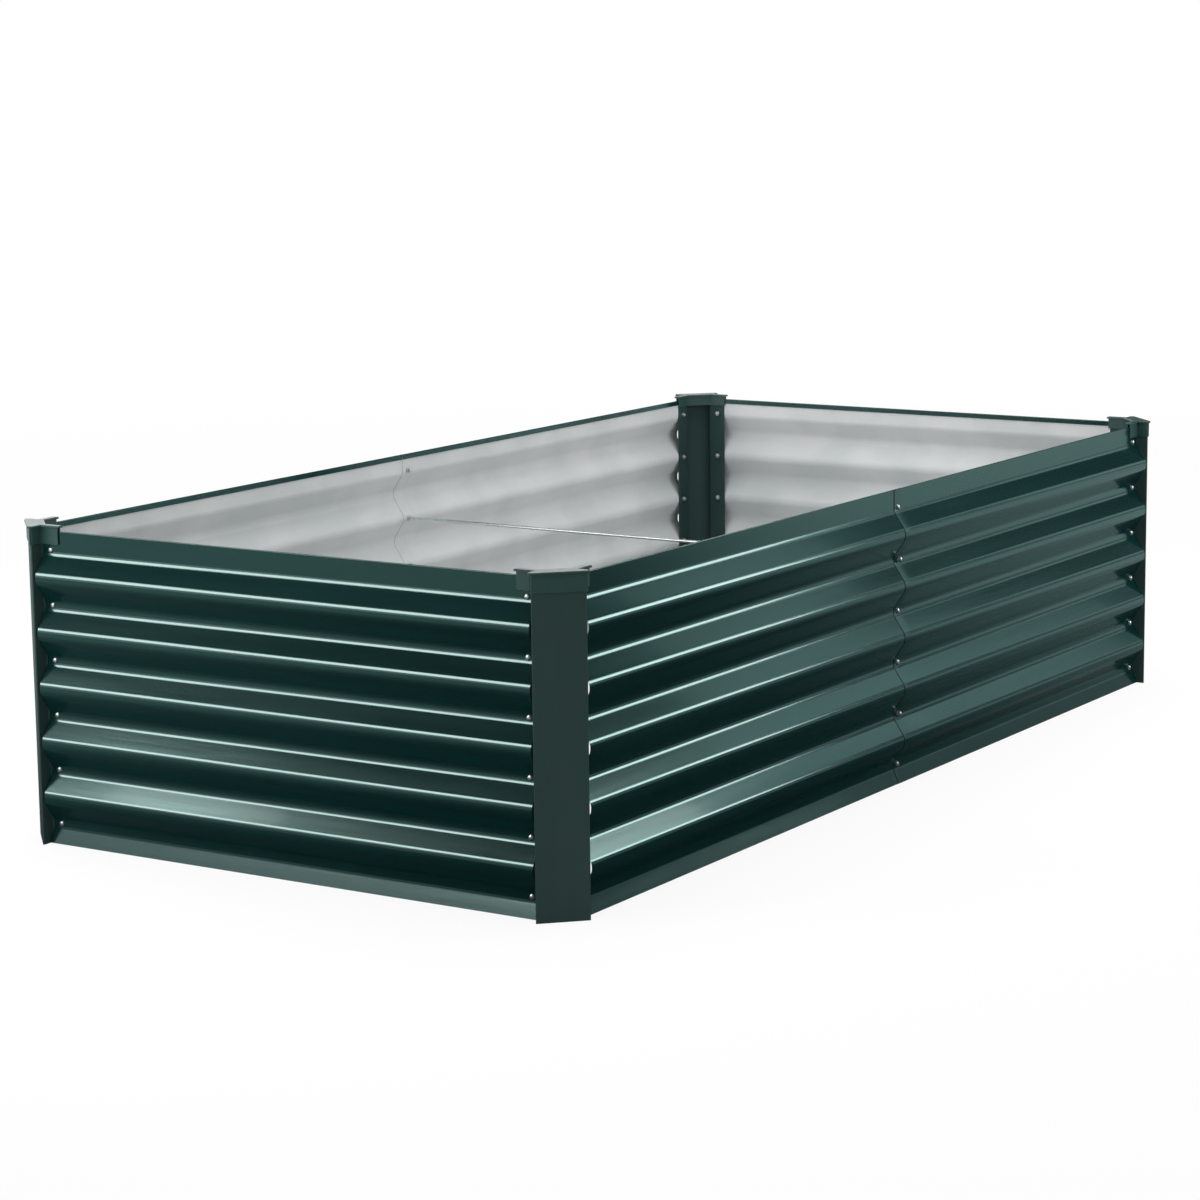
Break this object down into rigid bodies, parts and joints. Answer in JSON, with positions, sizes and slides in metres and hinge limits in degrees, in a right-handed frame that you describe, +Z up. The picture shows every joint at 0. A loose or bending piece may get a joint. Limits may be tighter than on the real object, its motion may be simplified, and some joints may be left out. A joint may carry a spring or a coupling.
{
  "type": "raised garden bed",
  "caption": "Free-standing raised garden bed of corrugated sheet steel, open at top and bottom, with bolted panels, folded corner posts, corner caps and tie rods.",
  "frame": {"origin": "on the ground, in the middle of the bed", "axes": "+X along the bed's long sides, to the right as seen from the front; +Y across the bed, towards the back; +Z up"},
  "size_m": [2.4506, 1.2306, 0.593],
  "materials": {
    "panel_coat": "glossy dark green coating on corrugated steel",
    "post_coat": "satin dark green coating on folded steel",
    "cap_plastic": "satin moulded plastic, dark green",
    "zinc_steel": "bright zinc plating",
    "rod_steel": "drawn and zinc plated"
  },
  "bodies": {
    "root": {"front_panel_left": "panel_coat", "front_panel_right": "panel_coat", "back_panel_left": "panel_coat", "back_panel_right": "panel_coat", "end_panel_left": "panel_coat", "end_panel_right": "panel_coat", "corner_post_front_left": "post_coat", "corner_post_front_right": "post_coat", "corner_post_back_left": "post_coat", "corner_post_back_right": "post_coat", "corner_cap_front_left": "cap_plastic", "corner_cap_front_right": "cap_plastic", "corner_cap_back_left": "cap_plastic", "corner_cap_back_right": "cap_plastic", "corner_bolts_front_left": "zinc_steel", "corner_nuts_front_left": "zinc_steel", "corner_bolts_front_right": "zinc_steel", "corner_nuts_front_right": "zinc_steel", "corner_bolts_back_left": "zinc_steel", "corner_nuts_back_left": "zinc_steel", "corner_bolts_back_right": "zinc_steel", "corner_nuts_back_right": "zinc_steel", "lap_bolts_front": "zinc_steel", "lap_nuts_front": "zinc_steel", "lap_bolts_back": "zinc_steel", "lap_nuts_back": "zinc_steel", "tie_rod_dome_nuts": "zinc_steel", "tie_rod_inner_nuts": "zinc_steel", "tie_rod_lower": "rod_steel", "tie_rod_upper": "rod_steel"}
  },
  "joints": []
}
